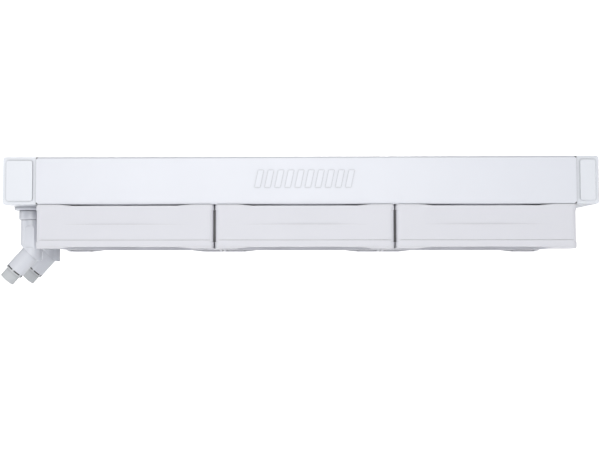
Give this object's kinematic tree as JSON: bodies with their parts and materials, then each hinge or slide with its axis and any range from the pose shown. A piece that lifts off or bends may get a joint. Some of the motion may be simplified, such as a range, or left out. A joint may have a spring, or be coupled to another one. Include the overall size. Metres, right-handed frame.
{
  "type": "liquid cooling radiator",
  "caption": "Long flat liquid cooling radiator with a finned core between two end tanks, side rails, fans clamped under it and angled swivel hose fittings.",
  "frame": {"origin": "centre of the middle screw rectangle on the case-side face of the radiator", "axes": "+X along the length away from the hose ports, +Y from the side with the raised ribs to the plain side, +Z out of the case-side face, away from the fans"},
  "size_m": [0.406, 0.1205, 0.0858],
  "materials": {
    "rail_paint": "satin white powder paint",
    "tank_paint": "satin white powder paint",
    "core_paint": "thin white paint over brazed fins",
    "bare_aluminium": "bare",
    "steel": "zinc plated",
    "pad_rubber": "soft white",
    "fan_plastic": "fine moulded grain",
    "blade_plastic": "smooth moulded",
    "board": "lacquered circuit board",
    "copper": "enamelled copper wire",
    "bronze": "sintered bronze",
    "magnet": "bonded ferrite",
    "clip_plastic": "nylon",
    "fitting_plastic": "smooth moulded",
    "ferrule_plastic": "fine moulded",
    "seal_rubber": "soft",
    "dark_plastic": "smooth moulded"
  },
  "bodies": {
    "radiator": {"front_rail": "rail_paint", "rear_rail": "rail_paint", "port_tank": "tank_paint", "return_tank": "tank_paint", "port_tank_caps": "tank_paint", "return_tank_caps": "tank_paint", "port_bosses": "tank_paint", "port_header": "bare_aluminium", "return_header": "bare_aluminium", "tank_baffle": "bare_aluminium", "coolant_tubes": "core_paint", "fin_rows": "core_paint", "fill_plug": "steel", "fan_screws": "steel", "fan_pads": "pad_rubber", "corner_seals": "seal_rubber", "fan_links": "dark_plastic", "left_fan_frame": "fan_plastic", "left_fan_board": "board", "left_fan_stator": "steel", "left_fan_windings": "copper", "left_fan_bearing": "bronze", "middle_fan_frame": "fan_plastic", "middle_fan_board": "board", "middle_fan_stator": "steel", "middle_fan_windings": "copper", "middle_fan_bearing": "bronze", "right_fan_frame": "fan_plastic", "right_fan_board": "board", "right_fan_stator": "steel", "right_fan_windings": "copper", "right_fan_bearing": "bronze", "front_neck": "fitting_plastic", "rear_neck": "fitting_plastic"},
    "left_rotor": {"left_fan_impeller": "blade_plastic", "left_fan_yoke": "steel", "left_fan_magnet": "magnet", "left_fan_shaft": "steel", "left_fan_clip": "clip_plastic"},
    "middle_rotor": {"middle_fan_impeller": "blade_plastic", "middle_fan_yoke": "steel", "middle_fan_magnet": "magnet", "middle_fan_shaft": "steel", "middle_fan_clip": "clip_plastic"},
    "right_rotor": {"right_fan_impeller": "blade_plastic", "right_fan_yoke": "steel", "right_fan_magnet": "magnet", "right_fan_shaft": "steel", "right_fan_clip": "clip_plastic"},
    "front_fitting": {"front_elbow": "fitting_plastic", "front_o_ring": "seal_rubber", "front_hose_tail": "bare_aluminium", "front_lock_ring": "dark_plastic", "front_ferrule": "ferrule_plastic"},
    "rear_fitting": {"rear_elbow": "fitting_plastic", "rear_o_ring": "seal_rubber", "rear_hose_tail": "bare_aluminium", "rear_lock_ring": "dark_plastic", "rear_ferrule": "ferrule_plastic"}
  },
  "joints": [
    {"name": "left_fan_spin", "type": "hinge", "parent": "radiator", "child": "left_rotor", "pos_m": [-0.12, 0, -0.045], "axis": [0, 0, 1], "continuous": true},
    {"name": "middle_fan_spin", "type": "hinge", "parent": "radiator", "child": "middle_rotor", "pos_m": [0, 0, -0.045], "axis": [0, 0, 1], "continuous": true},
    {"name": "right_fan_spin", "type": "hinge", "parent": "radiator", "child": "right_rotor", "pos_m": [0.12, 0, -0.045], "axis": [0, 0, 1], "continuous": true},
    {"name": "front_fitting_swivel", "type": "hinge", "parent": "radiator", "child": "front_fitting", "pos_m": [-0.19, -0.028, -0.04], "axis": [0, 0, 1], "range_deg": [-90, 90]},
    {"name": "rear_fitting_swivel", "type": "hinge", "parent": "radiator", "child": "rear_fitting", "pos_m": [-0.19, 0.028, -0.04], "axis": [0, 0, 1], "range_deg": [-90, 90]}
  ]
}
